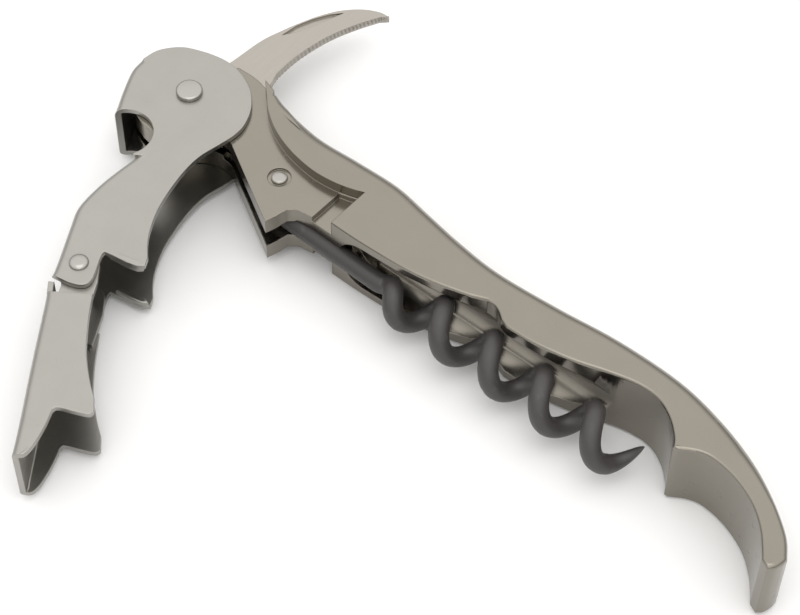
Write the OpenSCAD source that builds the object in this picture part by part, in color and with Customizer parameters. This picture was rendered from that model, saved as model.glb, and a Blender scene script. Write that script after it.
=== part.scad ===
// Lever corkscrew: a die-cast handle that carries a two-stage lever, a wire worm and a folding knife.
// Every outline is drawn about the head rivet: X runs down the handle, Y towards its back,
// Z across its thickness. place() then stands the whole on its side, centred on its own outline.

/* [Handle] */
// Thickness of the handle over its proud sides
handle_t = 12.6; // [12.4:0.1:13]
// Thickness of the head where the lever straddles it
head_t = 8.7; // [8.6:0.05:8.75]
// Radius of the head about its rivet
head_r = 8.6; // [8.2:0.1:8.7]
// Width of the slot that holds the worm's eye and shank
worm_slot = 3.15; // [3.15:0.05:3.4]
// Width of the slot that the knife folds into
knife_slot = 1.8; // [1.7:0.05:2]
// Radius of the round groove that the stowed worm lies in
groove_r = 4.6; // [4.5:0.05:4.7]

/* [Lever] */
// Thickness of the lever's steel sheet
sheet = 0.85; // [0.75:0.05:0.9]
// Side play between the lever's cheeks and the head
side_play = 0.1; // [0.05:0.05:0.15]
// Radius of the cap opener's mouth
mouth_r = 4.4; // [4.2:0.1:4.6]
// How far the rolled lip of the first foot stands inwards
lip_in = 0.8; // [0.5:0.1:0.9]

/* [Worm] */
// Diameter of the worm's wire
wire_d = 2.95; // [2.8:0.05:2.95]
// Outside diameter of the coil
coil_d = 8.6; // [8.2:0.1:8.6]
// Length of one turn along the coil
pitch = 9.05; // [8.85:0.05:9.1]

/* [Knife] */
// Thickness of the blade
blade_t = 1.4; // [1.2:0.1:1.5]
// Height of the blade's serrations
tooth = 0.35; // [0.2:0.05:0.4]

/* [Pins] */
// Radius of the head rivet's shank
head_pin_r = 1.5; // [1.3:0.1:1.6]
// Radius of the head rivet's flat heads
head_pin_cap_r = 2; // [1.9:0.1:2.3]
// Radius of the hinge rivet's shank
hinge_pin_r = 1; // [0.9:0.05:1.1]
// Radius of the hinge rivet's domed heads
hinge_pin_cap_r = 1.45; // [1.4:0.05:1.8]
// Radius of the worm's pin
worm_pin_r = 1.2; // [1.1:0.05:1.3]
// Running clearance round every pin
pin_play = 0.05; // [0.02:0.01:0.08]

/* [Hidden] */
$fn = 64;

// Joint centres about the head rivet
hinge_at = [10.5, -33.4];
worm_at = [20.7, -2.6];

// Outline limits, which set where the head rivet lies in the finished frame
forehead_x = -10;
tail_x = 114.5;
blade_tip = [9.5, 34.7];
link_tip = [26.7, -61.9];
middle = [(forehead_x + tail_x) / 2, (blade_tip[1] + link_tip[1]) / 2];

cheek_in = head_t / 2 + side_play;
cheek_out = cheek_in + sheet;
pocket_floor = cheek_in - lip_in - 0.25;

// Worm axis: its offset from the pin, and how far the worm still turns in to be stowed
axis_drop = 2.4;
stow_angle = 1.5;
shank_end = 15;
coil_start = 21;
coil_turns = 5.1;
first_phase = 320;
coil_r = (coil_d - wire_d) / 2;
wire_sides = 10;
steps_per_turn = 16;
tip_turn = 0.32;

// A smooth open curve through a list of points
function blend(a, b, c, d, t) =
    (2 * b + (c - a) * t + (2 * a - 5 * b + 4 * c - d) * t * t
     + (3 * b - a - 3 * c + d) * t * t * t) / 2;
function curve(p, n = 4) = let (last = len(p) - 1) [
    for (i = [0:last - 1]) for (k = [0:n - 1])
        blend(p[max(i - 1, 0)], p[i], p[i + 1], p[min(i + 2, last)], k / n),
    p[last]
];
// An arc as points, from one angle to another
function arc(at, r, from, to, n = 12) = [
    for (k = [0:n]) let (a = from + (to - from) * k / n) at + r * [cos(a), sin(a)]
];

module place() translate([-middle[0], -middle[1], handle_t / 2]) children();
// A plate between two heights, and the same plate on both sides of the middle
module slab(low, high) translate([0, 0, low]) linear_extrude(high - low) children();
module both_sides(low, high) { slab(low, high) children(); slab(-high, -low) children(); }
module upright(r, half) translate([0, 0, -half]) cylinder(r = r, h = 2 * half);
// A rounded head on a rivet's end, as a cap of a sphere
module dome(r, rise) {
    ball = (r * r + rise * rise) / (2 * rise);
    intersection() {
        translate([0, 0, rise - ball]) sphere(r = ball);
        cylinder(r = r, h = rise);
    }
}

// ---- Handle ----
back = [[1.5, 9], [5.5, 9.1], [10, 8], [14, 7.1], [21, 6.4], [28, 6.9], [35.5, 7.2], [42, 6.3],
        [49, 5.3], [56.5, 4.8], [66.5, 5.6], [76.5, 6.8], [87, 6.9], [95, 5.4], [101.5, 3.1],
        [107, 0], [112.2, -3.9], [tail_x, -6.9]];
tail_end = [113.3, -9.8];
second_saddle = [[112, -9.2], [109.4, -5.9], [106.2, -3.3], [102.2, -1.6], [98.5, -1],
                 [96, -1.4], [93.4, -3]];
first_saddle = [[92.9, -3], [91.8, -1.4], [89.5, 0.6], [86.6, 1.9], [83.2, 1.9], [79, 0.8],
                [73.7, -1], [68, -2.2], [63.6, -2.5]];
belly_step = [[62.2, -2], [60.9, -1.1], [59.8, -0.7], [58.6, -0.7]];
neck_belly = [[56.5, -1.7], [52, -3.1], [47.3, -4.1], [42, -4.6], [36.6, -4.9], [29, -5]];
nose_tip = [24.7, -10];
opener_gap_at = [8.6, -7.9];
opener_gap_r = 5.8;

// Where the opener's gap begins on the nose and where it runs out into the round head
gap_from = 61;
gap_to = 182.2;
head_from = -70.9;
head_to = -279;

module handle_outline() polygon(concat(
    curve(back), [tail_end], curve(second_saddle), curve(first_saddle), curve(belly_step),
    curve(neck_belly), [[26.7, -5.4], [25.6, -6.4], [25.2, -8.4], nose_tip],
    arc(opener_gap_at, opener_gap_r, gap_from, gap_to),
    arc([0, 0], head_r, head_from, head_to, 40)));
// Where the head is thinned on both sides for the lever's cheeks
recess_edge = [[5.5, 11.4], [7.6, 8.6], [9.4, 6.9], [11.9, 4.6], [15.4, 2.5], [19.6, 1.1],
               [24.2, 0.5], [28, 0.8], [31, 1.6], [33, 2.4]];
module recess() polygon(concat(curve(recess_edge), [[33, -14], [-14, -14], [-14, 14], [5.5, 14]]));
module lip_pocket() polygon([[29.3, 0.9], [31, 1.4], [33, 2.2], [33, -12], [29.3, -12]]);
// Room for the folded blade, open at the back and round the head
module knife_room() polygon([[-14, -14], [9, -14], [12, -1.5], [15, -0.4], [19.3, 2], [23.2, 3.1],
                             [28, 3.9], [37, 4.2], [38, 5], [38, 14], [-14, 14]]);
module worm_room() {
    translate(worm_at) circle(r = axis_drop + wire_d / 2 + 0.4);
    polygon([[8.5, -14], [8.5, -1.2], [20, -1.2], [26, -2.3], [40, -1.8], [40, -14]]);
}
// The groove follows the stowed worm and is open on the belly side
groove_start = 18.2;
groove_length = 46.5;
groove_open = 14;
module groove() translate([worm_at[0], worm_at[1], 0]) rotate([0, 0, stow_angle])
    translate([groove_start, -axis_drop, 0]) {
        rotate([0, 90, 0]) cylinder(r = groove_r, h = groove_length);
        translate([0, -groove_open, -groove_r]) cube([groove_length, groove_open, 2 * groove_r]);
        // rounded start of the groove, seen from the belly
        translate([0, -groove_open, 0]) rotate([-90, 0, 0])
            cylinder(r = groove_r, h = groove_open + groove_r * 0.8);
    }
module handle_body() color([0.64, 0.61, 0.57]) place() difference() {
    slab(-handle_t / 2, handle_t / 2) handle_outline();
    both_sides(head_t / 2, handle_t) recess();
    both_sides(pocket_floor, handle_t) lip_pocket();
    slab(-knife_slot / 2, knife_slot / 2) knife_room();
    slab(-worm_slot / 2, worm_slot / 2) worm_room();
    groove();
    upright(head_pin_r + pin_play, handle_t);
    translate(worm_at) upright(worm_pin_r, handle_t);
    // shallow ring round the worm pin on each side
    translate(worm_at) both_sides(head_t / 2 - 0.15, handle_t)
        difference() { circle(r = 2.1); circle(r = 1.8); }
}

// ---- Upper lever ----
forehead = [[-3.4, 7.6], [-7, 6], [-9.4, 3.2], [forehead_x, 0.2], [forehead_x, -1.8],
            [-9.3, -3.7], [-7.8, -6.6], [-6.3, -9.2], [-5.4, -11], [-4.9, -12.2]];
neck_front = [[2.6, -14], [2.3, -18], [2.3, -22], [2.9, -26.2], [4.6, -29.5], [6.9, -33.5],
              [8.1, -35.6], [9.1, -37.4]];
// Round the hinge, from the front corner to the throat
knuckle = [[9.8, -37.5], [11.7, -36.9], [13.1, -36.3], [13.9, -35.5], [14, -34.4], [13.4, -33],
           [12.5, -31.4], [11.9, -30.2]];
// The web stops short of the hinge by this radius, so that the lower lever's tongue can swing
web_gap_r = 5.3;
throat = [[11.8, -29.6], [13.2, -29.3], [15.4, -28.9], [17, -28.4], [17.9, -27.6]];
neck_back = [[17.2, -26.3], [15.6, -24.7], [14, -22.6], [12.2, -19.2], [10.9, -15.3], [10, -11.2],
             [9.8, -7.8], [10.4, -4.3], [10.8, -1.5], [10.5, 1], [9, 4], [6.2, 6.6], [2.4, 8.1],
             [-0.6, 8.2]];
mouth_at = [-1.9, -12];

module upper_outline() difference() {
    polygon(concat(curve(forehead), [[-5.3, -13.5], [0, -16]], curve(neck_front), knuckle,
                   throat, curve(neck_back)));
    translate(mouth_at) circle(r = mouth_r);
    polygon([[-4.2, -11.9], mouth_at + [0.8, -1.5], [2.6, -14.1],
             [-1, -18], [-9, -14], [-4.9, -12.2]]);
}
// A strip of one sheet's width inside an open curve, which becomes the web
module web_strip(p, width) polygon(concat(p, [
    for (i = [len(p) - 1:-1:0])
        let (d = p[min(i + 1, len(p) - 1)] - p[max(i - 1, 0)]) p[i] + width * [-d[1], d[0]] / norm(d)
]));
module upper_lever() color([0.75, 0.73, 0.7]) place() difference() {
    union() {
        both_sides(cheek_in, cheek_out) upper_outline();
        slab(-cheek_out, cheek_out) difference() {
            intersection() {
                upper_outline();
                union() {
                    web_strip([for (p = curve(forehead)) if (p[1] < 1.6) p], sheet);
                    web_strip(curve(neck_front), sheet);
                }
            }
            translate(hinge_at) circle(r = web_gap_r);
        }
        // rolled lip of the first foot, turned inwards
        both_sides(cheek_in - lip_in, cheek_out) polygon([[12.6, -29.35], [15.4, -28.9],
            [17, -28.4], [17.7, -27.7], [16.9, -27.5], [15.3, -28], [12.7, -28.5]]);
    }
    upright(head_pin_r + pin_play, handle_t);
    translate(hinge_at) upright(hinge_pin_r + pin_play, handle_t);
}

// ---- Lower lever ----
link_gap_r = 4.7;
link_front = [[10.6, -39.8], [12.3, -42.2], [15.8, -47.1], [19.6, -52.3], [23.2, -57.1],
              link_tip];
// The web runs on past the cheeks to here
link_tab = [9.4, -38.4];
link_notch = [[27.6, -61.3], [28, -60.6], [27.8, -58.8], [26.8, -55.8], [25.7, -53.4]];
second_foot = [[25.7, -52.8], [26.4, -52.3], [28, -51.6], [29.9, -50.6], [30.1, -49.8]];
link_back = [[28.6, -48.2], [26, -46.5], [22.6, -43.8], [20.2, -41.3], [18, -38.7],
             [15.9, -35.9]];
tongue_in = cheek_in - side_play - sheet;
module link_cheek() difference() {
    polygon(concat(curve(link_front), link_notch, curve(second_foot), curve(link_back)));
    translate(hinge_at) circle(r = link_gap_r);
}
// The narrow tongue carries the hinge eye and steps out to the cheeks
module tongue() {
    translate(hinge_at) circle(r = 2.9);
    polygon([hinge_at + [-2, -2.05], [10.9, -37.4], [12.4, -40], [17.1, -38.5], [15.5, -35.6],
             [14.4, -33.7], hinge_at + [1.7, 2.2]]);
}
module lower_lever() color([0.73, 0.71, 0.67]) place() difference() {
    union() {
        both_sides(cheek_in, cheek_out) link_cheek();
        slab(-cheek_out, cheek_out) intersection() {
            difference() {
                polygon(concat([link_tab], curve(link_front), [[28, -60.6], [25, -50], [16, -38]]));
                translate(hinge_at) circle(r = link_gap_r);
            }
            web_strip(concat([link_tab], curve(link_front)), sheet);
        }
        both_sides(tongue_in, cheek_in - side_play) tongue();
        both_sides(tongue_in, cheek_out) intersection() {
            tongue();
            difference() { link_cheek(); translate(hinge_at) circle(r = link_gap_r + 0.2); }
        }
    }
    translate(hinge_at) upright(hinge_pin_r + pin_play, handle_t);
}

// ---- Rivets and pin ----
module head_rivet() color([0.72, 0.7, 0.67]) place() {
    upright(head_pin_r, cheek_out);
    for (s = [0, 1]) mirror([0, 0, s]) translate([0, 0, cheek_out]) {
        cylinder(r = head_pin_cap_r, h = 0.55);
        translate([0, 0, 0.55]) cylinder(r1 = head_pin_cap_r, r2 = head_pin_cap_r - 0.25, h = 0.2);
    }
}
module hinge_rivet() color([0.78, 0.76, 0.73]) place() translate(hinge_at) {
    upright(hinge_pin_r, cheek_out);
    for (s = [0, 1]) mirror([0, 0, s]) translate([0, 0, cheek_out]) dome(hinge_pin_cap_r, 0.6);
}
module worm_pin() color([0.78, 0.77, 0.75]) place() translate(worm_at)
    upright(worm_pin_r, head_t / 2 + 0.05);

// ---- Worm ----
// Centre of the wire at a number of turns after the coil starts, and how the wire thins at its point
function swell(t) = min(1, 0.5 - 0.5 * cos(min(180, 180 * t / 0.75)));
function coil_at(t) = let (a = first_phase + 360 * t, r = coil_r * swell(t))
    [coil_start + pitch * t, -axis_drop + r * cos(a), r * sin(a)];
function thinned(t) = min(1, 0.1 + 0.9 * (coil_turns - t) / tip_turn);
function path() = concat([[shank_end, -axis_drop, 0], [coil_start - 1, -axis_drop, 0]],
                         [for (k = [1:coil_turns * steps_per_turn]) coil_at(k / steps_per_turn)]);
function radii() = concat([1, 1], [for (k = [1:coil_turns * steps_per_turn])
                                   thinned(k / steps_per_turn)]) * wire_d / 2;
function heading(p, i) = let (d = p[min(i + 1, len(p) - 1)] - p[max(i - 1, 0)]) d / norm(d);
// Rings of points round the path, each in the plane square to it
function rings(p, r) = [for (i = [0:len(p) - 1])
    let (d = heading(p, i), u = cross(d, [0, 0, 1]), v = u / norm(u), w = cross(d, v))
        for (k = [0:wire_sides - 1]) let (a = 360 * k / wire_sides)
            p[i] + r[i] * (v * cos(a) + w * sin(a))];
module wire(p, r) {
    n = wire_sides;
    last = (len(p) - 1) * n;
    polyhedron(points = rings(p, r), faces = concat(
        [[for (k = [0:n - 1]) k]], [[for (k = [n - 1:-1:0]) last + k]],
        [for (i = [0:len(p) - 2]) for (k = [0:n - 1]) let (a = i * n, b = (k + 1) % n)
            each [[a + k, a + n + k, a + b], [a + b, a + n + k, a + n + b]]]));
}
module worm() color([0.27, 0.26, 0.26]) place() translate(worm_at) {
    difference() {
        union() {
            upright(axis_drop + wire_d / 2, wire_d / 2 - 0.1);
            translate([0, -axis_drop, 0]) rotate([0, 90, 0])
                cylinder(r = wire_d / 2, h = shank_end);
        }
        upright(worm_pin_r + pin_play, handle_t);
    }
    wire(path(), radii());
}

// ---- Knife ----
spine = [[-3.6, 7], [-2.6, 11], [-2.1, 17.4], [-1.2, 21.1], [-0.1, 24.5], [1.2, 27.7],
         [2.9, 30.6], [5.2, 33], [7.6, 34.4], blade_tip];
edge = [[8.9, 33.4], [7.4, 30.3], [6.1, 26.9], [5.2, 23.2], [4.7, 19], [4.8, 14.8],
        [5.3, 11], [5.4, 4]];
teeth = 19;
tang_r = 5;
module blade_outline() difference() {
    polygon(concat(curve(spine, 6), curve(edge, 6), arc([0, 0], tang_r, 12, -214, 30)));
    // serrations along the concave edge
    for (k = [0:teeth - 1]) {
        p = curve(edge, 6)[floor(4 + k * 28 / teeth)];
        translate(p + [0.3, 0]) circle(r = tooth + 0.1, $fn = 16);
    }
}
module knife_blade() color([0.7, 0.68, 0.64]) place() difference() {
    slab(-blade_t / 2, blade_t / 2) blade_outline();
    // nail nick
    translate([-0.1, 21.2, blade_t / 2 - 0.35]) rotate([0, 0, 70]) cube([8.5, 0.9, 1]);
    upright(head_pin_r + pin_play, handle_t);
}

handle_body();
upper_lever();
lower_lever();
head_rivet();
hinge_rivet();
worm();
worm_pin();
knife_blade();
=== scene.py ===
import math

import bmesh
import bpy
from mathutils import Matrix, Vector


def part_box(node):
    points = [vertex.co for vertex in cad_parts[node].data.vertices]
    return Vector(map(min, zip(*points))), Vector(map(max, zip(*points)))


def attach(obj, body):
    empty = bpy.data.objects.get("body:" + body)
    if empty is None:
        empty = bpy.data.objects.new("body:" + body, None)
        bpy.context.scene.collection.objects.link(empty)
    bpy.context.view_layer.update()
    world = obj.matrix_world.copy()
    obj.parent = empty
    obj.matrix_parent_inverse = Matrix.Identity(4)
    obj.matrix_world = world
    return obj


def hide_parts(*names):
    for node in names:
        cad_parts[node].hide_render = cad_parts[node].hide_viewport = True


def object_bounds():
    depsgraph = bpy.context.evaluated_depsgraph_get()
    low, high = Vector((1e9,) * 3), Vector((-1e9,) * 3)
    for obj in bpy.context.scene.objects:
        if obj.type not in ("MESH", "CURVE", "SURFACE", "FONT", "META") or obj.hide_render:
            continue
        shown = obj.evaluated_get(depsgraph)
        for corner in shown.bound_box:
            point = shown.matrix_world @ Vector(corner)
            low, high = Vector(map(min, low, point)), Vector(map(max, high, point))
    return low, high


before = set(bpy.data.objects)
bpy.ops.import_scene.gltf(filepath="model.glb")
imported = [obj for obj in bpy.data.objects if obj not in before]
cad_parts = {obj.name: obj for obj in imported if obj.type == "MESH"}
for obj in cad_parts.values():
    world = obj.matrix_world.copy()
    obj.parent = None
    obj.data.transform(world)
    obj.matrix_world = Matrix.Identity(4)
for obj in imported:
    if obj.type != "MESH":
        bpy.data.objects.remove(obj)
CAD_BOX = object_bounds()

bl_info = {
    "name": "Lever Corkscrew",
    "version": (1, 0, 0),
    "blender": (4, 5, 0),
    "location": "View3D > Sidebar > Corkscrew",
    "description": "Builds the looks of a folding corkscrew round its packed frame",
    "category": "Object",
}

MM = 0.001
# Points closer together than this are one point, mm
SAME_POINT = 0.01
ROUND_SIDES = 64
BEVEL_SEGMENTS = 8
# Half the height of a cutter that has to go right through, mm
THROUGH = 20
# An edge that turns more than this stays crisp
CRISP_ANGLE = math.radians(40)


def middle_of(node):
    low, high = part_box(node)
    return (low + high) / 2


# Everything is drawn in millimetres about the head rivet, and place() carries it to the frame
RIVET = middle_of("head_rivet")
HINGE = [(middle_of("hinge_rivet") - RIVET)[i] / MM for i in range(2)]
WORM_PIN = [(middle_of("worm_pin") - RIVET)[i] / MM for i in range(2)]
HANDLE_THICKNESS = (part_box("handle_body")[1].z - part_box("handle_body")[0].z) / MM
LEVER_HALF = (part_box("upper_lever")[1].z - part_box("upper_lever")[0].z) / MM / 2
PIN_HALF = (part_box("worm_pin")[1].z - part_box("worm_pin")[0].z) / MM / 2
RIVET_HALF = (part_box("head_rivet")[1].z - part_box("head_rivet")[0].z) / MM / 2
HINGE_HALF = (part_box("hinge_rivet")[1].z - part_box("hinge_rivet")[0].z) / MM / 2


# ---- Settings ----
class CorkscrewHandle(bpy.types.PropertyGroup):
    head: bpy.props.FloatProperty(
        name="Head thickness", description="Thickness between the lever's cheeks, mm", default=8.7)
    back_round: bpy.props.FloatProperty(
        name="Back rounding", description="Radius along the handle's back, mm", default=2.2)
    rim_round: bpy.props.FloatProperty(
        name="Rim rounding", description="Radius along the belly and the saddles, mm", default=0.45)


class CorkscrewLever(bpy.types.PropertyGroup):
    sheet: bpy.props.FloatProperty(
        name="Sheet", description="Thickness of the lever's sheet, mm", default=0.85)
    bend: bpy.props.FloatProperty(
        name="Bend radius", description="Outside radius of the bends, mm", default=1.15)
    mouth: bpy.props.FloatProperty(
        name="Mouth radius", description="Radius of the cap opener's mouth, mm", default=4.4)
    lip: bpy.props.FloatProperty(
        name="Lip", description="How far the first foot's lip stands inwards, mm", default=0.8)
    crisp: bpy.props.FloatProperty(
        name="Edge break", description="Width of the break on every sheared edge, mm", default=0.13)


class CorkscrewWorm(bpy.types.PropertyGroup):
    wire: bpy.props.FloatProperty(
        name="Wire", description="Diameter of the worm's wire, mm", default=3.0)
    coil: bpy.props.FloatProperty(
        name="Coil", description="Outside diameter of the coil, mm", default=8.6)
    pitch: bpy.props.FloatProperty(
        name="Pitch", description="Length of one turn, mm", default=9.05)
    turns: bpy.props.FloatProperty(
        name="Turns", description="Number of turns from the shank to the point", default=5.12)
    phase: bpy.props.FloatProperty(
        name="Phase", description="Angle where the coil starts", subtype="ANGLE",
        default=math.radians(320))


class CorkscrewKnife(bpy.types.PropertyGroup):
    thickness: bpy.props.FloatProperty(
        name="Thickness", description="Thickness of the blade, mm", default=1.4)
    grind: bpy.props.FloatProperty(
        name="Grind", description="Width of the ground bevel along the edge, mm", default=0.5)
    teeth: bpy.props.IntProperty(
        name="Teeth", description="Number of serrations", default=38)
    tooth: bpy.props.FloatProperty(
        name="Tooth depth", description="Depth of each serration, mm", default=0.24)


class CorkscrewFinish(bpy.types.PropertyGroup):
    casting: bpy.props.FloatVectorProperty(
        name="Casting", description="Dark nickel plating", subtype="COLOR",
        default=(0.244, 0.226, 0.194))
    sheet: bpy.props.FloatVectorProperty(
        name="Sheet steel", description="Satin stamped steel", subtype="COLOR",
        default=(0.345, 0.335, 0.312))
    rivet: bpy.props.FloatVectorProperty(
        name="Rivets", description="Bright rivet steel", subtype="COLOR", default=(0.37, 0.36, 0.34))
    blade: bpy.props.FloatVectorProperty(
        name="Blade", description="Ground blade steel", subtype="COLOR", default=(0.375, 0.352, 0.318))
    coating: bpy.props.FloatVectorProperty(
        name="Coating", description="Non-stick coating of the worm", subtype="COLOR",
        default=(0.043, 0.0395, 0.039))


class CorkscrewStage(bpy.types.PropertyGroup):
    elevation: bpy.props.FloatProperty(
        name="Elevation", description="Camera height above the horizon", subtype="ANGLE",
        default=math.radians(54))
    azimuth: bpy.props.FloatProperty(
        name="Azimuth", description="Direction that the camera stands in, from +X", subtype="ANGLE",
        default=math.radians(-49.65))
    roll: bpy.props.FloatProperty(
        name="Roll", description="Turn of the camera about its own axis", subtype="ANGLE",
        default=math.radians(0.8))
    distance: bpy.props.FloatProperty(
        name="Distance", description="Camera to the point that it looks at, mm", default=335.7)
    lens: bpy.props.FloatProperty(
        name="Lens", description="Focal length, mm, on a 36 mm sensor", default=105.75)
    aim: bpy.props.FloatVectorProperty(
        name="Aim", description="Point that the camera looks at, mm", default=(-4.86, 7.27, 6.3))
    top_power: bpy.props.FloatProperty(
        name="Top light", description="Power of the light overhead, W", default=1.2)
    front_power: bpy.props.FloatProperty(
        name="Front light", description="Power of the light by the camera, W", default=0.6)
    floor: bpy.props.FloatVectorProperty(
        name="Floor", description="Colour of the floor", subtype="COLOR", default=(0.82, 0.82, 0.82))


# ---- Outlines ----
def smooth(points, steps=6):
    """A smooth open curve through a list of points."""
    last = len(points) - 1
    found = []
    for i in range(last):
        a, b = points[max(i - 1, 0)], points[i]
        c, d = points[i + 1], points[min(i + 2, last)]
        for k in range(steps):
            t = k / steps
            found.append(tuple(
                (2 * b[j] + (c[j] - a[j]) * t + (2 * a[j] - 5 * b[j] + 4 * c[j] - d[j]) * t * t
                 + (3 * b[j] - a[j] - 3 * c[j] + d[j]) * t ** 3) / 2
                for j in range(2)))
    return found + [tuple(points[last])]


def arc(centre, radius, start, end, steps=16):
    """Points along an arc, from one angle in degrees to another."""
    angles = [math.radians(start + (end - start) * k / steps) for k in range(steps + 1)]
    return [(centre[0] + radius * math.cos(a), centre[1] + radius * math.sin(a)) for a in angles]


def beside(points, width):
    """An open curve moved sideways, to its left."""
    found = []
    for i, p in enumerate(points):
        a, b = points[max(i - 1, 0)], points[min(i + 1, len(points) - 1)]
        long = math.hypot(b[0] - a[0], b[1] - a[1])
        found.append((p[0] - width * (b[1] - a[1]) / long, p[1] + width * (b[0] - a[0]) / long))
    return found


def shifted(point, x, y):
    return (point[0] + x, point[1] + y)


# ---- Solids ----
def place(mesh):
    """Carries a bmesh from millimetres about the head rivet to the frame."""
    bmesh.ops.scale(mesh, vec=(MM, MM, MM), verts=mesh.verts)
    bmesh.ops.translate(mesh, vec=RIVET, verts=mesh.verts)


def to_object(mesh, name):
    """Makes an object of a bmesh, still in millimetres."""
    data = bpy.data.meshes.new(name)
    mesh.to_mesh(data)
    mesh.free()
    piece = bpy.data.objects.new(name, data)
    bpy.context.scene.collection.objects.link(piece)
    return piece


def settle(piece):
    """Bakes a piece's modifiers into its mesh."""
    graph = bpy.context.evaluated_depsgraph_get()
    baked = bpy.data.meshes.new_from_object(piece.evaluated_get(graph))
    old = piece.data
    piece.modifiers.clear()
    piece.data = baked
    bpy.data.meshes.remove(old)
    return piece


def prism(strands, low, high):
    """A plate between two heights. A strand is a list of points with the rounding of its edges,
    which is a radius or gives one at a point."""
    mesh = bmesh.new()
    points, rounding = [], []
    for strand, radius in strands:
        for p in strand:
            if not points or math.dist(p, points[-1]) > SAME_POINT:
                points.append(p)
                rounding.append(radius(p) if callable(radius) else radius)
    if math.dist(points[0], points[-1]) < SAME_POINT:
        points.pop()
        rounding.pop()
    roundness = mesh.verts.layers.float.new("roundness")
    for p, radius in zip(points, rounding):
        mesh.verts.new((p[0], p[1], low))[roundness] = radius
    base = mesh.faces.new(mesh.verts)
    grown = bmesh.ops.extrude_face_region(mesh, geom=[base])["geom"]
    bmesh.ops.translate(mesh, vec=(0, 0, high - low),
                        verts=[v for v in grown if isinstance(v, bmesh.types.BMVert)])
    bmesh.ops.recalc_face_normals(mesh, faces=mesh.faces)
    widest = max(rounding)
    if widest:
        weight = mesh.edges.layers.float.new("bevel_weight_edge")
        for edge in mesh.edges:
            a, b = edge.verts
            if abs(a.co.z - b.co.z) < 1e-6:
                edge[weight] = min(a[roundness], b[roundness]) / widest
    piece = to_object(mesh, "prism")
    if widest:
        bevel = piece.modifiers.new("round", "BEVEL")
        bevel.width = widest
        bevel.segments = BEVEL_SEGMENTS
        bevel.limit_method = "WEIGHT"
        bevel.use_clamp_overlap = False
        settle(piece)
    return piece


def tube(centre, radius, low=-THROUGH, high=THROUGH, sides=ROUND_SIDES):
    """An upright cylinder."""
    mesh = bmesh.new()
    at = Matrix.Translation((centre[0], centre[1], (low + high) / 2))
    bmesh.ops.create_cone(mesh, cap_ends=True, segments=sides, radius1=radius, radius2=radius,
                          depth=high - low, matrix=at)
    return to_object(mesh, "tube")


def bead(start, end, height, radius):
    """A round bar with rounded ends, lying level."""
    mesh = bmesh.new()
    bmesh.ops.create_uvsphere(mesh, u_segments=32, v_segments=17, radius=radius)
    far = [v for v in mesh.verts if v.co.z > 0]
    bmesh.ops.translate(mesh, vec=(0, 0, math.dist(start, end)), verts=far)
    along = Vector((end[0] - start[0], end[1] - start[1], 0))
    bmesh.ops.transform(mesh, matrix=Matrix.Translation((*start, height))
                        @ along.to_track_quat("Z", "Y").to_matrix().to_4x4(), verts=mesh.verts)
    return to_object(mesh, "bead")


def turned(profile, centre, closed=False):
    """A solid of revolution from a profile of (radius, height) points, which starts and ends on the
    axis or, if closed, runs round a ring's section."""
    mesh = bmesh.new()
    verts = [mesh.verts.new((r, 0, z)) for r, z in profile]
    edges = [mesh.edges.new(pair) for pair in zip(verts, verts[1:] + verts[:1] * closed)]
    bmesh.ops.spin(mesh, geom=verts + edges, cent=(0, 0, 0), axis=(0, 0, 1), angle=math.tau,
                   steps=ROUND_SIDES, use_merge=True)
    bmesh.ops.remove_doubles(mesh, verts=mesh.verts, dist=1e-5)
    bmesh.ops.recalc_face_normals(mesh, faces=mesh.faces)
    bmesh.ops.translate(mesh, vec=(centre[0], centre[1], 0), verts=mesh.verts)
    return to_object(mesh, "turned")


def combine(piece, other, operation):
    """Cuts, adds or keeps what two solids share, and uses the other one up."""
    boolean = piece.modifiers.new("combine", "BOOLEAN")
    boolean.operation = operation
    boolean.solver = "EXACT"
    boolean.object = other
    settle(piece)
    bpy.data.objects.remove(other)
    return piece


def cut(piece, *others):
    for other in others:
        combine(piece, other, "DIFFERENCE")
    return piece


def join(piece, *others):
    for other in others:
        combine(piece, other, "UNION")
    return piece


def add_shells(piece, *others):
    """Sets closed shells into a solid without cutting either."""
    mesh = bmesh.new()
    mesh.from_mesh(piece.data)
    for other in others:
        mesh.from_mesh(other.data)
        bpy.data.objects.remove(other)
    mesh.to_mesh(piece.data)
    mesh.free()
    return piece


def on_both_sides(make, low, high, *rest):
    """The same plate above and below the middle plane."""
    return [make(*rest, low, high), make(*rest, -high, -low)]


def tidied(piece):
    """Merges the doubled corners that cutting leaves."""
    mesh = bmesh.new()
    mesh.from_mesh(piece.data)
    bmesh.ops.remove_doubles(mesh, verts=mesh.verts, dist=0.001)
    mesh.to_mesh(piece.data)
    mesh.free()
    return piece


def finish_piece(piece, name, body, materials, nodes, weighted=True):
    """Shades a solid, moves it to the frame, and hands it to its body."""
    mesh = bmesh.new()
    mesh.from_mesh(piece.data)
    for face in mesh.faces:
        face.smooth = True
    for edge in mesh.edges:
        edge.smooth = not edge.is_manifold or edge.calc_face_angle(0) < CRISP_ANGLE
    place(mesh)
    mesh.to_mesh(piece.data)
    mesh.free()
    piece.name = name
    piece.data.name = name
    piece.data.materials.clear()
    for material in materials:
        piece.data.materials.append(material)
    if weighted:
        weigh = piece.modifiers.new("weigh", "WEIGHTED_NORMAL")
        weigh.keep_sharp = True
        weigh.weight = 80
    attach(piece, body)
    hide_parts(*nodes)
    return piece


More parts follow.
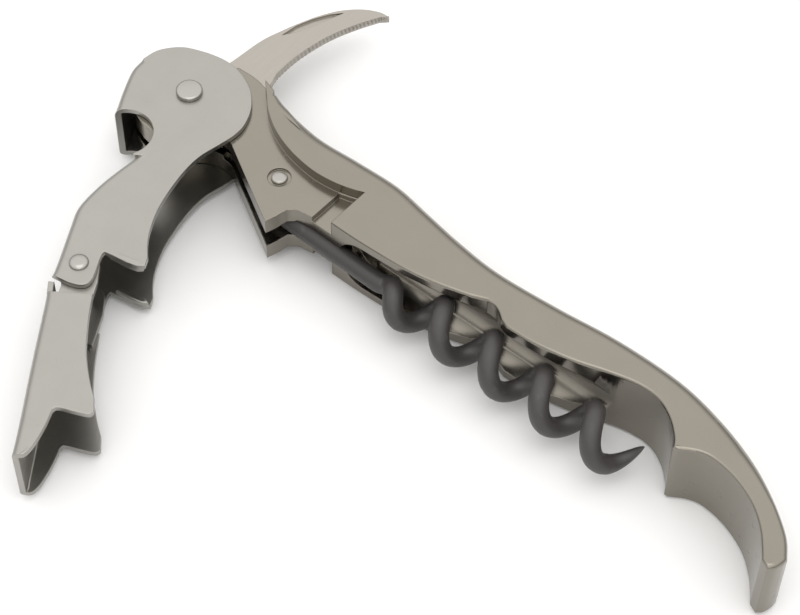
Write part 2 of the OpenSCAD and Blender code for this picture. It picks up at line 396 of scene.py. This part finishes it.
# ---- Shader maths ----
class Wire:
    """A shader socket. Arithmetic on it adds Math nodes."""

    def __init__(self, shader, socket):
        self.shader = shader
        self.socket = socket

    def _with(self, operation, first, second):
        return self.shader.node("ShaderNodeMath", {"operation": operation}, {0: first, 1: second})

    def __add__(self, other):
        return self._with("ADD", self, other)

    def __radd__(self, other):
        return self._with("ADD", other, self)

    def __sub__(self, other):
        return self._with("SUBTRACT", self, other)

    def __rsub__(self, other):
        return self._with("SUBTRACT", other, self)

    def __mul__(self, other):
        return self._with("MULTIPLY", self, other)

    def __rmul__(self, other):
        return self._with("MULTIPLY", other, self)


class Shader:
    """A material's node tree with one method that adds any node."""

    def __init__(self, name):
        self.material = bpy.data.materials.new(name)
        self.material.use_nodes = True
        self.tree = self.material.node_tree
        self.surface = next(n for n in self.tree.nodes if n.type == "BSDF_PRINCIPLED")
        self.place = self.node("ShaderNodeTexCoord", {}, {}, "Object")

    def node(self, kind, settings, inputs, output=0):
        """Adds a node, makes its settings, then sets or links its inputs, and returns one output."""
        made = self.tree.nodes.new(kind)
        for key, value in settings.items():
            setattr(made, key, value)
        for key, value in inputs.items():
            self.feed(made.inputs[key], value)
        return Wire(self, made.outputs[output])

    def feed(self, socket, value):
        if isinstance(value, Wire):
            self.tree.links.new(value.socket, socket)
        elif hasattr(value, "__len__") and len(value) == 3 and len(socket.default_value) == 4:
            socket.default_value = (*value, 1)
        else:
            socket.default_value = value

    def stretched(self, scale, turn=0.0):
        """Object coordinates in metres, turned about Z and scaled for a texture."""
        return self.node("ShaderNodeMapping", {}, {"Vector": self.place, "Rotation": (0, 0, turn),
                                                   "Scale": scale})

    def noise(self, scale, detail=2.0, rough=0.5, where=None):
        return self.node("ShaderNodeTexNoise", {"noise_dimensions": "3D"},
                         {"Vector": where or self.place, "Scale": scale, "Detail": detail,
                          "Roughness": rough})

    def ramp(self, value, low, high):
        """A value taken from 0 to 1 between two limits."""
        return self.node("ShaderNodeMapRange", {"interpolation_type": "SMOOTHSTEP"},
                         {"Value": value, "From Min": low, "From Max": high})

    def rounded(self, radius):
        """The surface's normal with its cut edges softened by a small radius in millimetres."""
        return self.node("ShaderNodeBevel", {"samples": 6}, {"Radius": radius * MM})

    def tint(self, share, first, second):
        return self.node("ShaderNodeMix", {"data_type": "RGBA"}, {0: share, 6: first, 7: second}, 2)

    def bump(self, height, strength, distance, under=None):
        inputs = {"Height": height, "Strength": strength, "Distance": distance}
        if under:
            inputs["Normal"] = under
        return self.node("ShaderNodeBump", {}, inputs)

    def set(self, **values):
        """Sets the surface's sockets, with _ for a space in their names."""
        for key, value in values.items():
            self.feed(self.surface.inputs[key.replace("_", " ")], value)
        return self.material


def shade(colour, factor):
    return tuple(min(1.0, c * factor) for c in colour)


def casting_finish(colour):
    """Polished plating on a die casting: soft waves, faint polish lines and small specks."""
    s = Shader("polished_casting")
    waves = s.noise(110, 1.5)
    skin = s.noise(1500, 2)
    lines = s.noise(900, 3, 0.6, s.stretched((0.12, 1, 1)))
    specks = s.ramp(s.noise(700, 2), 0.68, 0.76)
    blotch = s.noise(160, 3)
    normal = s.bump(waves, 0.18, 0.0006, s.rounded(0.2))
    normal = s.bump(skin, 0.05, 0.00004, normal)
    normal = s.bump(lines, 0.05, 0.00004, normal)
    normal = s.bump(specks, 0.15, 0.00003, normal)
    return s.set(
        Base_Color=s.tint(blotch, shade(colour, 0.95), shade(colour, 1.05)),
        Metallic=1.0,
        Roughness=0.15 + 0.08 * lines + 0.05 * blotch + 0.1 * specks,
        Normal=normal)


def sheet_finish(name, colour, rough):
    """Tumbled sheet steel: a fine grain, faint draw lines and a few shallow pits."""
    s = Shader(name)
    grain = s.noise(5200, 3, 0.65)
    drawn = s.noise(1500, 3, 0.6, s.stretched((1, 0.1, 1), math.radians(12)))
    pits = s.ramp(s.noise(1300, 2), 0.7, 0.77)
    cloud = s.noise(220, 3)
    normal = s.bump(s.noise(140, 1), 0.1, 0.0004, s.rounded(0.16))
    normal = s.bump(grain, 0.22, 0.00003, normal)
    normal = s.bump(1 - pits, 0.3, 0.00004, normal)
    tone = s.tint(cloud, shade(colour, 0.94), shade(colour, 1.05))
    return s.set(
        Base_Color=s.tint(pits, tone, shade(colour, 0.9)),
        Metallic=1.0,
        Roughness=rough + 0.08 * (grain - 0.5) + 0.08 * drawn + 0.05 * cloud,
        Normal=normal)


def blade_finish(colour):
    """Ground blade steel: fine lines along the blade over a satin grain."""
    s = Shader("ground_blade")
    lines = s.noise(2600, 4, 0.7, s.stretched((1, 0.06, 1), math.radians(8)))
    cloud = s.noise(180, 3)
    normal = s.bump(lines, 0.25, 0.00003, s.rounded(0.1))
    return s.set(
        Base_Color=s.tint(lines, shade(colour, 0.92), shade(colour, 1.08)),
        Metallic=1.0,
        Roughness=0.3 + 0.1 * lines + 0.05 * cloud,
        Normal=normal)


def coating_finish(colour):
    """Matte non-stick coating with a fine skin, worn a little paler in places."""
    s = Shader("coated_wire")
    skin = s.noise(3200, 3, 0.6)
    cloud = s.noise(400, 4, 0.6)
    worn = s.ramp(cloud, 0.6, 0.75)
    normal = s.bump(skin, 0.25, 0.00004)
    normal = s.bump(cloud, 0.12, 0.0002, normal)
    return s.set(
        Base_Color=s.tint(worn, colour, shade(colour, 1.5)),
        Metallic=0.0,
        Roughness=0.4 + 0.12 * skin - 0.05 * worn,
        Normal=normal)


def floor_finish(colour):
    s = Shader("studio_floor")
    grain = s.noise(90, 3)
    return s.set(Base_Color=s.tint(grain, shade(colour, 0.99), colour), Roughness=0.9)


# ---- Handle ----
BACK = [(1.5, 9), (5.5, 9.1), (10, 8), (14, 7.1), (21, 6.4), (28, 6.9), (35.5, 7.2), (42, 6.3),
        (49, 5.3), (56.5, 4.8), (66.5, 5.6), (76.5, 6.8), (87, 6.9), (95, 5.4), (101.5, 3.1),
        (107, 0), (112.2, -3.9), (114.5, -6.9)]
TAIL_END = [(114.5, -7.6), (114.1, -9), (113.3, -9.8)]
SECOND_SADDLE = [(112, -9.2), (109.4, -5.9), (106.2, -3.3), (102.2, -1.6), (98.5, -1), (96, -1.4),
                 (93.4, -3)]
FIRST_SADDLE = [(92.9, -3), (91.8, -1.4), (89.5, 0.6), (86.6, 1.9), (83.2, 1.9), (79, 0.8),
                (73.7, -1), (68, -2.2), (63.6, -2.5)]
BELLY = [(62.2, -2), (60.9, -1.1), (59.8, -0.7), (58.6, -0.7)]
NECK_BELLY = [(56.5, -1.7), (52, -3.1), (47.3, -4.1), (42, -4.6), (36.6, -4.9), (29, -5)]
NOSE = [(26.7, -5.4), (25.6, -6.4), (25.2, -8.4), (24.7, -10)]
RECESS_EDGE = [(5.5, 11.4), (7.6, 8.6), (9.4, 6.9), (11.9, 4.6), (15.4, 2.5), (19.6, 1.1),
               (24.2, 0.5), (28, 0.8), (31, 1.6), (33, 2.4)]
OPENER_GAP_AT = (8.6, -7.9)
OPENER_GAP = 5.8
HEAD_RADIUS = 8.6
POCKET_FLOOR = 3.4
WORM_SLOT = 3.15
KNIFE_SLOT = 1.8
GROOVE = 4.6
GROOVE_SIDES = 72
GROOVE_START = 18.2
GROOVE_LENGTH = 46.5
AXIS_DROP = 2.4
STOW_ANGLE = 1.5
# How far the groove reaches past the belly, and the share of its radius that its start reaches up
GROOVE_OPEN = 14
START_REACH = 0.8
PIN_RADIUS = 1.2
EYE_ROOM = 4.27
RING_RADIUS = 1.75
RING_DEPTH = 0.35
TAIL_ROUND = 0.7
# Along the back, the rounding grows from LEAST_START of its full radius over START_TAPER, from BACK_START
BACK_START = 8
START_TAPER = 8
LEAST_START = 0.1
# and shrinks to LEAST_END of it over END_TAPER before the tail
END_TAPER = 14
LEAST_END = 0.4


def groove_cutter():
    """The round-bottomed groove along the stowed worm, open on the belly side."""
    mesh = bmesh.new()
    lying = Matrix.Translation((GROOVE_START + GROOVE_LENGTH / 2, -AXIS_DROP, 0)) @ Matrix.Rotation(
        math.pi / 2, 4, "Y")
    bmesh.ops.create_cone(mesh, cap_ends=True, segments=GROOVE_SIDES, radius1=GROOVE, radius2=GROOVE,
                          depth=GROOVE_LENGTH, matrix=lying)
    trough = to_object(mesh, "trough")
    mesh = bmesh.new()
    box = Matrix.Translation((GROOVE_START + GROOVE_LENGTH / 2, -AXIS_DROP - GROOVE_OPEN / 2, 0))
    bmesh.ops.create_cube(
        mesh, size=1, matrix=box @ Matrix.Diagonal((GROOVE_LENGTH, GROOVE_OPEN, 2 * GROOVE, 1)))
    join(trough, to_object(mesh, "mouth"))
    mesh = bmesh.new()
    depth = GROOVE_OPEN + GROOVE * START_REACH
    standing = Matrix.Translation((GROOVE_START, -AXIS_DROP - GROOVE_OPEN + depth / 2, 0))
    standing = standing @ Matrix.Rotation(math.pi / 2, 4, "X")
    bmesh.ops.create_cone(mesh, cap_ends=True, segments=GROOVE_SIDES, radius1=GROOVE, radius2=GROOVE,
                          depth=depth, matrix=standing)
    join(trough, to_object(mesh, "end"))
    trough.data.transform(Matrix.Translation((*WORM_PIN, 0)) @ Matrix.Rotation(
        math.radians(STOW_ANGLE), 4, "Z"))
    return trough


def handle_solid(values):
    half, head = HANDLE_THICKNESS / 2, values.head / 2
    back, rim = values.back_round, values.rim_round

    def back_radius(p):
        return back * min(1, max(LEAST_START, (p[0] - BACK_START) / START_TAPER),
                          max(LEAST_END, (TAIL_END[0][0] - p[0]) / END_TAPER))

    body = prism([
        (smooth(BACK[:3]), 0.0), (smooth(BACK)[12:], back_radius), (smooth(TAIL_END, 3), TAIL_ROUND),
        (smooth(SECOND_SADDLE), rim), (smooth(FIRST_SADDLE), rim), (smooth(BELLY), rim),
        (smooth(NECK_BELLY), rim), (NOSE, rim), (arc(OPENER_GAP_AT, OPENER_GAP, 61, 182.2, 30), 0.0),
        (arc((0, 0), HEAD_RADIUS, -70.9, -279, 60), 0.0)], -half, half)
    recess = [(smooth(RECESS_EDGE) + [(33, -14), (-14, -14), (-14, 14), (5.5, 14)], 0.0)]
    pocket = [([(29.3, 0.9), (31, 1.4), (33, 2.2), (33, -12), (29.3, -12)], 0.0)]
    knife_room = [([(-14, -14), (9, -14), (12, -1.5), (15, -0.4), (19.3, 2), (23.2, 3.1), (28, 3.9),
                    (37, 4.2), (38, 5), (38, 14), (-14, 14)], 0.0)]
    shank_room = [([(8.5, -14), (8.5, -1.2), (20, -1.2), (26, -2.3), (40, -1.8), (40, -14)], 0.0)]
    cut(body,
        *on_both_sides(lambda low, high: prism(recess, low, high), head, THROUGH),
        *on_both_sides(lambda low, high: prism(pocket, low, high), POCKET_FLOOR, THROUGH),
        prism(knife_room, -KNIFE_SLOT / 2, KNIFE_SLOT / 2),
        prism(shank_room, -WORM_SLOT / 2, WORM_SLOT / 2),
        tube(WORM_PIN, EYE_ROOM, -WORM_SLOT / 2, WORM_SLOT / 2),
        groove_cutter())
    ring = [(PIN_RADIUS, head - RING_DEPTH), (RING_RADIUS, head - RING_DEPTH), (RING_RADIUS, head + 1),
            (PIN_RADIUS, head + 1)]
    for side in (1, -1):
        cut(body, turned([(r, side * z) for r, z in ring], WORM_PIN, closed=True))
    return tidied(body)


class BuildHandle(bpy.types.Operator):
    """Builds the cast handle with its recess, groove and slots"""
    bl_idname = "corkscrew.build_handle"
    bl_label = "Handle"

    def execute(self, context):
        scene = context.scene
        casting = casting_finish(scene.corkscrew_finish.casting)
        finish_piece(handle_solid(scene.corkscrew_handle), "cast_handle", "handle",
                     [casting], ["handle_body"])
        return {"FINISHED"}


# ---- Upper lever ----
FOREHEAD = [(-3.4, 7.6), (-7, 6), (-9.4, 3.2), (-10, 0.2), (-10, -1.8), (-9.3, -3.7), (-7.8, -6.6),
            (-6.3, -9.2), (-5.4, -11), (-4.9, -12.2)]
FOREHEAD_TOP = 1.6
NECK_FRONT = [(2.6, -14), (2.3, -18), (2.3, -22), (2.9, -26.2), (4.6, -29.5), (6.9, -33.5),
              (8.1, -35.6), (9.1, -37.4)]
KNUCKLE = [(11.7, -36.9), (13.1, -36.3), (13.9, -35.5), (14, -34.4), (13.4, -33),
           (12.5, -31.4), (11.9, -30.2)]
THROAT = [(11.8, -29.6), (13.2, -29.3), (15.4, -28.9), (17, -28.4), (17.9, -27.6)]
NECK_BACK = [(17.2, -26.3), (15.6, -24.7), (14, -22.6), (12.2, -19.2), (10.9, -15.3), (10, -11.2),
             (9.8, -7.8), (10.4, -4.3), (10.8, -1.5), (10.5, 1), (9, 4), (6.2, 6.6), (2.4, 8.1),
             (-0.6, 8.2), (-3.4, 7.6)]
MOUTH_AT = (-1.9, -12)
FOOT_BEAD = [(13.8, -28.6), (16.8, -27.7)]
BEAD_RADIUS = 0.42
WEB_GAP = 5.3
RIVET_BORE = 1.55
HINGE_BORE = 1.05
LIP_ROUND = 0.3
MOUTH_SIDES = 96
BORE_SIDES = 48


def upper_lever_solid(values):
    half, sheet, edge = LEVER_HALF, values.sheet, values.crisp
    web = [p for p in smooth(FOREHEAD) if p[1] < FOREHEAD_TOP]
    block = prism([
        (smooth(FOREHEAD)[:19], edge), (smooth(FOREHEAD)[19:], values.bend),
        ([(-5.3, -13.5), (0, -16)], edge), (smooth(NECK_FRONT), values.bend),
        (smooth(KNUCKLE, 3), edge), (THROAT, edge), (smooth(NECK_BACK), edge)], -half, half)
    fold = values.bend - sheet
    inner = [([(-14, 12), (-14, FOREHEAD_TOP), (web[0][0] + sheet, FOREHEAD_TOP)], 0.0),
             (beside(web, sheet)[1:], fold), ([(-3, -13.5), (3.4, -13.2)], 0.0),
             (beside(smooth(NECK_FRONT), sheet), fold), ([(13, -45), (40, -45), (40, 12)], 0.0)]
    cut(block, prism(inner, sheet - half, half - sheet),
        tube(HINGE, WEB_GAP, sheet - half, half - sheet))
    lip = [([(12.6, -29.35), (15.4, -28.9), (17, -28.4), (17.7, -27.7), (16.9, -27.35), (15.3, -27.9),
             (12.7, -28.4)], LIP_ROUND)]
    inside = half - sheet
    wedge = [([(-4.2, -11.9), (-1.1, -13.5), (2.6, -14.1), (-1, -18), (-9, -14), (-4.9, -12.2)], 0.0)]
    cut(block, tube(MOUTH_AT, values.mouth, sides=MOUTH_SIDES), prism(wedge, -THROUGH, THROUGH),
        tube((0, 0), RIVET_BORE, sides=BORE_SIDES), tube(HINGE, HINGE_BORE, sides=BORE_SIDES))
    tidied(block)
    beads = [bead(*FOOT_BEAD, side * (half - BEAD_RADIUS), BEAD_RADIUS) for side in (1, -1)]
    return add_shells(block, *beads, *on_both_sides(lambda low, high: prism(lip, low, high),
                                                    inside - values.lip, inside + 0.5))


# ---- Lower lever ----
LINK_FRONT = [(10.6, -39.8), (12.3, -42.2), (15.8, -47.1), (19.6, -52.3), (23.2, -57.1),
              (26.7, -61.9)]
LINK_TAB = [(9.4, -38.4), (10.75, -40.0), (11.4, -39.5), (10.1, -37.9)]
LINK_NOTCH = [(27.6, -61.3), (28, -60.6), (27.8, -58.8), (26.8, -55.8), (25.7, -53.4)]
SECOND_FOOT = [(25.7, -52.8), (26.4, -52.3), (28, -51.6), (29.9, -50.6), (30.1, -49.8)]
LINK_BACK = [(28.6, -48.2), (26, -46.5), (22.6, -43.8), (20.2, -41.3), (18, -38.7), (15.9, -35.9)]
LINK_GAP = 4.7
SIDE_PLAY = 0.1
TONGUE_EYE = 2.9
# How far the step between tongue and cheek runs into each
STEP_OVERLAP = 0.2
TAB_INSET = 0.3


def lower_lever_solid(values):
    half, sheet, edge = LEVER_HALF, values.sheet, values.crisp
    inside = half - sheet
    front = smooth(LINK_FRONT)
    block = prism([
        (front, values.bend), (smooth(LINK_NOTCH, 4), edge), (smooth(SECOND_FOOT, 4), edge),
        (smooth(LINK_BACK), edge)], -half, half)
    inner = [(beside(front, sheet), values.bend - sheet),
             ([(30, -66), (50, -66), (50, -30), (10, -30)], 0.0)]
    cut(block, prism(inner, -inside, inside), tube(HINGE, LINK_GAP, sides=MOUTH_SIDES))
    outer = inside - SIDE_PLAY
    tongue = [([shifted(HINGE, -2, -2.05), (10.9, -37.4), (12.4, -40), (17.1, -38.5), (15.5, -35.6),
                (14.4, -33.7), shifted(HINGE, 1.8, 2.27)] + arc(HINGE, TONGUE_EYE, 54, 226, 32), 0.0)]
    plates = on_both_sides(lambda low, high: prism(tongue, low, high), outer - sheet, outer)
    step = [([(12.2, -39.2), (12.4, -40.4), (17.1, -38.9), (16.3, -37.3)], 0.0)]
    steps = on_both_sides(lambda low, high: prism(step, low, high), outer - STEP_OVERLAP,
                          inside + STEP_OVERLAP)
    join(block, *plates, *steps, prism([(LINK_TAB, edge)], TAB_INSET - half, half - TAB_INSET))
    cut(block, tube(HINGE, HINGE_BORE, sides=BORE_SIDES))
    return tidied(block)


class BuildLever(bpy.types.Operator):
    """Builds both stages of the stamped lever"""
    bl_idname = "corkscrew.build_lever"
    bl_label = "Lever"

    def execute(self, context):
        scene = context.scene
        steel = sheet_finish("satin_sheet", scene.corkscrew_finish.sheet, 0.27)
        finish_piece(upper_lever_solid(scene.corkscrew_lever), "lever_upper_stage", "upper_lever",
                     [steel], ["upper_lever"])
        finish_piece(lower_lever_solid(scene.corkscrew_lever), "lever_lower_stage", "lower_lever",
                     [steel], ["lower_lever"])
        return {"FINISHED"}


# ---- Rivets and pin ----
def flat_rivet():
    """A flat disc head with a soft rim on each end of the shank."""
    top, rim, shank = RIVET_HALF, 2.0, 1.5
    side = [(0, top), (rim - 0.35, top), (rim - 0.12, top - 0.06), (rim, top - 0.22),
            (rim, LEVER_HALF + 0.08), (rim - 0.1, LEVER_HALF), (shank, LEVER_HALF), (shank, 0)]
    return turned(side + [(r, -z) for r, z in reversed(side[:-1])], (0, 0))


def domed_rivet():
    """A small domed head on each end of the shank."""
    rise, rim, shank = HINGE_HALF - LEVER_HALF, 1.45, 1.0
    flatness, steps = 0.8, 12
    cap = [(rim * math.sin(a) ** flatness, LEVER_HALF + rise * math.cos(a) ** flatness)
           for a in [math.radians(90 * k / steps) for k in range(steps)]] + [(rim, LEVER_HALF)]
    cap[0] = (0, HINGE_HALF)
    side = cap + [(shank, LEVER_HALF - 0.01), (shank, 0)]
    return turned(side + [(r, -z) for r, z in reversed(side[:-1])], HINGE)


def flush_pin():
    """A pin with softly crowned ends."""
    rim = PIN_RADIUS - 0.03
    side = [(0, PIN_HALF), (0.6, PIN_HALF - 0.01), (1.0, PIN_HALF - 0.05), (rim, PIN_HALF - 0.16),
            (rim, 0)]
    return turned(side + [(r, -z) for r, z in reversed(side[:-1])], WORM_PIN)


class BuildRivets(bpy.types.Operator):
    """Builds the two rivets and the worm's pin"""
    bl_idname = "corkscrew.build_rivets"
    bl_label = "Rivets and pin"

    def execute(self, context):
        steel = sheet_finish("rivet_steel", context.scene.corkscrew_finish.rivet, 0.2)
        for make, name, body, node in (
                (flat_rivet, "rivet_head", "head_rivet", "head_rivet"),
                (domed_rivet, "rivet_hinge", "hinge_rivet", "hinge_rivet"),
                (flush_pin, "pin_worm", "handle", "worm_pin")):
            finish_piece(make(), name, body, [steel], [node], weighted=False)
        return {"FINISHED"}


# ---- Worm ----
WIRE_SMOOTHNESS = 6
SHANK_END = 15
COIL_START = 21
SWELL_TURNS = 0.75
TIP_TURNS = 0.34
STEPS_PER_TURN = 40
# Share of the wire's radius left at the point, and how fast it grows behind it
POINT_SHARE = 0.07
POINT_GROWTH = 0.8


def worm_line(values):
    """The wire's centre line from the eye to the point, with its share of the full radius."""
    full = (values.coil - values.wire) / 2
    line = [((x, -AXIS_DROP, 0), 1.0) for x in (2.2, 4, 7, 10, 13, SHANK_END, 17.5, COIL_START - 1)]
    for k in range(1, round(values.turns * STEPS_PER_TURN) + 1):
        t = k / STEPS_PER_TURN
        around = values.phase + math.tau * t
        reach = full * (0.5 - 0.5 * math.cos(math.pi * min(1, t / SWELL_TURNS)))
        left = (values.turns - t) / TIP_TURNS
        share = min(1, POINT_SHARE + (1 - POINT_SHARE) * min(1, max(0, left)) ** POINT_GROWTH)
        line.append(((COIL_START + values.pitch * t, -AXIS_DROP + reach * math.cos(around),
                      reach * math.sin(around)), share))
    return line


def worm_solid(values):
    curve = bpy.data.curves.new("wire", "CURVE")
    curve.dimensions = "3D"
    curve.bevel_depth = values.wire / 2
    curve.bevel_resolution = WIRE_SMOOTHNESS
    curve.use_fill_caps = True
    curve.twist_mode = "MINIMUM"
    line = worm_line(values)
    spline = curve.splines.new("POLY")
    spline.points.add(len(line) - 1)
    for point, (at, share) in zip(spline.points, line):
        point.co = (WORM_PIN[0] + at[0], WORM_PIN[1] + at[1], at[2], 1)
        point.radius = share
    wire = bpy.data.objects.new("wire", curve)
    bpy.context.scene.collection.objects.link(wire)
    piece = bpy.data.objects.new("worm", bpy.data.meshes.new_from_object(wire))
    bpy.context.scene.collection.objects.link(piece)
    bpy.data.objects.remove(wire)
    mesh = bmesh.new()
    mesh.from_mesh(piece.data)
    bmesh.ops.remove_doubles(mesh, verts=mesh.verts, dist=1e-4)
    bmesh.ops.recalc_face_normals(mesh, faces=mesh.faces)
    mesh.to_mesh(piece.data)
    mesh.free()
    # The flattened eye round the pin
    thick, outer, hole = values.wire / 2 - 0.12, AXIS_DROP + values.wire / 2 - 0.02, 1.25
    soft = 0.55
    ring = [(hole, -thick + 0.1), (hole, thick - 0.1), (hole + 0.1, thick), (outer - soft, thick),
            (outer - 0.16, thick - 0.16), (outer, thick - soft), (outer, soft - thick),
            (outer - 0.16, 0.16 - thick), (outer - soft, -thick), (hole + 0.1, -thick)]
    return join(piece, turned(ring, WORM_PIN, closed=True))


class BuildWorm(bpy.types.Operator):
    """Builds the coated wire worm with its eye"""
    bl_idname = "corkscrew.build_worm"
    bl_label = "Worm"

    def execute(self, context):
        scene = context.scene
        coating = coating_finish(scene.corkscrew_finish.coating)
        finish_piece(worm_solid(scene.corkscrew_worm), "wire_worm", "worm", [coating],
                     ["worm"], weighted=False)
        return {"FINISHED"}


# ---- Knife ----
SPINE = [(-3.6, 7), (-2.6, 11), (-2.1, 17.4), (-1.2, 21.1), (-0.1, 24.5), (1.2, 27.7), (2.9, 30.6),
         (5.2, 33), (7.6, 34.4), (9.5, 34.7)]
EDGE = [(8.9, 33.4), (7.4, 30.3), (6.1, 26.9), (5.2, 23.2), (4.7, 19), (4.8, 14.8), (5.3, 11), (5.4, 4)]
TANG = 5.0
EDGE_STEPS = 40
SERRATION_START = 1.2
LEAST_GRIND = 0.12
# Most of the blade's width that the grind may take from one side
GRIND_SHARE = 0.4
GRIND_FADE = 25
SHOULDER = 0.1
NICK_DEPTH = 0.4


def knife_solid(values):
    half, land = values.thickness / 2, 0.09
    edge = smooth([SPINE[-1]] + EDGE, EDGE_STEPS)
    sharp = [p for p in edge if p[1] > EDGE[-2][1] + SERRATION_START]
    inward = beside(sharp, -1.0)
    spine = smooth(SPINE, 8)[:-1]
    rim, shoulder = [], []
    long = len(sharp) - 1
    for i, (p, q) in enumerate(zip(sharp, inward)):
        nx, ny = q[0] - p[0], q[1] - p[1]
        tooth = values.tooth * abs(math.sin(math.pi * values.teeth * i / long)) * min(
            1, 12 * (1 - i / long), 8 * i / long)
        ends = min(1, i / GRIND_FADE) * min(1, (long - i) / GRIND_FADE)
        rim.append((p[0] + nx * tooth, p[1] + ny * tooth))
        room = min(math.dist(p, q) for q in spine)
        wide = min(LEAST_GRIND + (values.grind - LEAST_GRIND) * ends, GRIND_SHARE * room)
        shoulder.append((p[0] + nx * wide, p[1] + ny * wide))
    rest = [p for p in edge[len(sharp):][::6]] + arc((0, 0), TANG, 12, -214, 50)
    rim += rest + spine
    shoulder += beside(rest, -SHOULDER) + beside(spine, -SHOULDER)
    mesh = bmesh.new()
    rank = mesh.verts.layers.int.new("rank")
    for i, p in enumerate(rim):
        mesh.verts.new((*p, -land))[rank] = i
    base = mesh.faces.new(mesh.verts)
    top_region = bmesh.ops.extrude_face_region(mesh, geom=[base])["geom"]
    top = next(f for f in top_region if isinstance(f, bmesh.types.BMFace))
    bmesh.ops.translate(mesh, vec=(0, 0, 2 * land), verts=list(top.verts))
    for face, height in ((top, half), (None, -half)):
        if face is None:
            face = min(mesh.faces, key=lambda f: f.calc_center_median().z if len(f.verts) > 4 else 9)
        grown = bmesh.ops.extrude_face_region(mesh, geom=[face])["geom"]
        for v in grown:
            if isinstance(v, bmesh.types.BMVert):
                v.co = (*shoulder[v[rank]], height)
        bmesh.ops.delete(mesh, geom=[face], context="FACES_ONLY")
    bmesh.ops.recalc_face_normals(mesh, faces=mesh.faces)
    blade = to_object(mesh, "blade")
    nick = [([(-0.45, 20.6), (0.9, 22.7), (2.2, 26.0), (3.7, 30.6), (2.2, 28.8), (0.9, 26.4),
              (-0.1, 23.6)], 0.0)]
    return cut(blade, prism(nick, half - NICK_DEPTH, THROUGH),
               tube((0, 0), RIVET_BORE, sides=BORE_SIDES))


class BuildKnife(bpy.types.Operator):
    """Builds the serrated foil knife"""
    bl_idname = "corkscrew.build_knife"
    bl_label = "Knife"

    def execute(self, context):
        scene = context.scene
        steel = blade_finish(scene.corkscrew_finish.blade)
        finish_piece(knife_solid(scene.corkscrew_knife), "foil_knife", "knife", [steel],
                     ["knife_blade"])
        return {"FINISHED"}


# ---- Stage ----
def soft_light(name, place_at, aim, size, power):
    lamp = bpy.data.lights.new(name, "AREA")
    lamp.shape = "RECTANGLE"
    lamp.size, lamp.size_y = size
    lamp.energy = power
    light = bpy.data.objects.new(name, lamp)
    light.location = place_at
    light.rotation_euler = (Vector(aim) - Vector(place_at)).to_track_quat("-Z", "Y").to_euler()
    bpy.context.scene.collection.objects.link(light)


def studio_world():
    """A pale tent that is bright overhead and falls off towards the horizon."""
    world = bpy.data.worlds.new("studio")
    world.use_nodes = True
    nodes, links = world.node_tree.nodes, world.node_tree.links
    place_at = nodes.new("ShaderNodeTexCoord")
    split = nodes.new("ShaderNodeSeparateXYZ")
    rise = nodes.new("ShaderNodeMapRange")
    rise.interpolation_type = "SMOOTHSTEP"
    rise.inputs["From Min"].default_value = 0.0
    rise.inputs["From Max"].default_value = 0.75
    rise.inputs["To Min"].default_value = 0.5
    rise.inputs["To Max"].default_value = 1.5
    links.new(place_at.outputs["Generated"], split.inputs[0])
    links.new(split.outputs["Z"], rise.inputs["Value"])
    links.new(rise.outputs[0], nodes["Background"].inputs["Strength"])
    nodes["Background"].inputs["Color"].default_value = (1, 0.99, 0.975, 1)
    return world


class BuildStage(bpy.types.Operator):
    """Builds the floor, the lights and the camera"""
    bl_idname = "corkscrew.build_stage"
    bl_label = "Stage"

    def execute(self, context):
        scene = context.scene
        values = scene.corkscrew_stage
        mesh = bmesh.new()
        bmesh.ops.create_grid(mesh, x_segments=2, y_segments=2, size=3)
        floor = to_object(mesh, "floor")
        floor.location.z = CAD_BOX[0].z - 0.0002
        floor.data.materials.append(floor_finish(values.floor))

        scene.world = studio_world()
        soft_light("top_light", (0.1, -0.1, 0.9), (0, 0, 0), (0.6, 0.6), values.top_power)
        soft_light("front_light", (0.6, -0.6, 0.45), (0, 0, 0), (0.5, 0.3), values.front_power)

        aim = Vector(values.aim) * MM
        away = Vector((math.cos(values.azimuth) * math.cos(values.elevation),
                       math.sin(values.azimuth) * math.cos(values.elevation), math.sin(values.elevation)))
        lens = bpy.data.cameras.new("camera")
        lens.lens = values.lens
        lens.sensor_width = 36
        lens.clip_start = 0.01
        camera = bpy.data.objects.new("camera", lens)
        camera.location = aim + away * values.distance * MM
        turn = (-away).to_track_quat("-Z", "Y").to_matrix() @ Matrix.Rotation(values.roll, 3, "Z")
        camera.rotation_euler = turn.to_euler()
        scene.collection.objects.link(camera)
        scene.camera = camera
        scene.view_settings.view_transform = "Standard"
        return {"FINISHED"}


# ---- Panel ----
BUILDERS = (BuildHandle, BuildLever, BuildRivets, BuildWorm, BuildKnife, BuildStage)
SETTINGS = {"corkscrew_handle": CorkscrewHandle, "corkscrew_lever": CorkscrewLever,
            "corkscrew_worm": CorkscrewWorm, "corkscrew_knife": CorkscrewKnife,
            "corkscrew_finish": CorkscrewFinish, "corkscrew_stage": CorkscrewStage}


class CorkscrewPanel(bpy.types.Panel):
    """Lists the builders in the 3D view's sidebar"""
    bl_idname = "VIEW3D_PT_corkscrew"
    bl_label = "Corkscrew"
    bl_space_type = "VIEW_3D"
    bl_region_type = "UI"
    bl_category = "Corkscrew"

    def draw(self, context):
        for builder in BUILDERS:
            self.layout.operator(builder.bl_idname)


def register():
    for group in (*SETTINGS.values(), *BUILDERS, CorkscrewPanel):
        bpy.utils.register_class(group)
    for name, group in SETTINGS.items():
        setattr(bpy.types.Scene, name, bpy.props.PointerProperty(type=group))


def unregister():
    for name in SETTINGS:
        delattr(bpy.types.Scene, name)
    for group in reversed((*SETTINGS.values(), *BUILDERS, CorkscrewPanel)):
        bpy.utils.unregister_class(group)


def main():
    register()
    for builder in BUILDERS:
        group, name = builder.bl_idname.split(".")
        getattr(getattr(bpy.ops, group), name)()


if __name__ == "__main__":
    main()
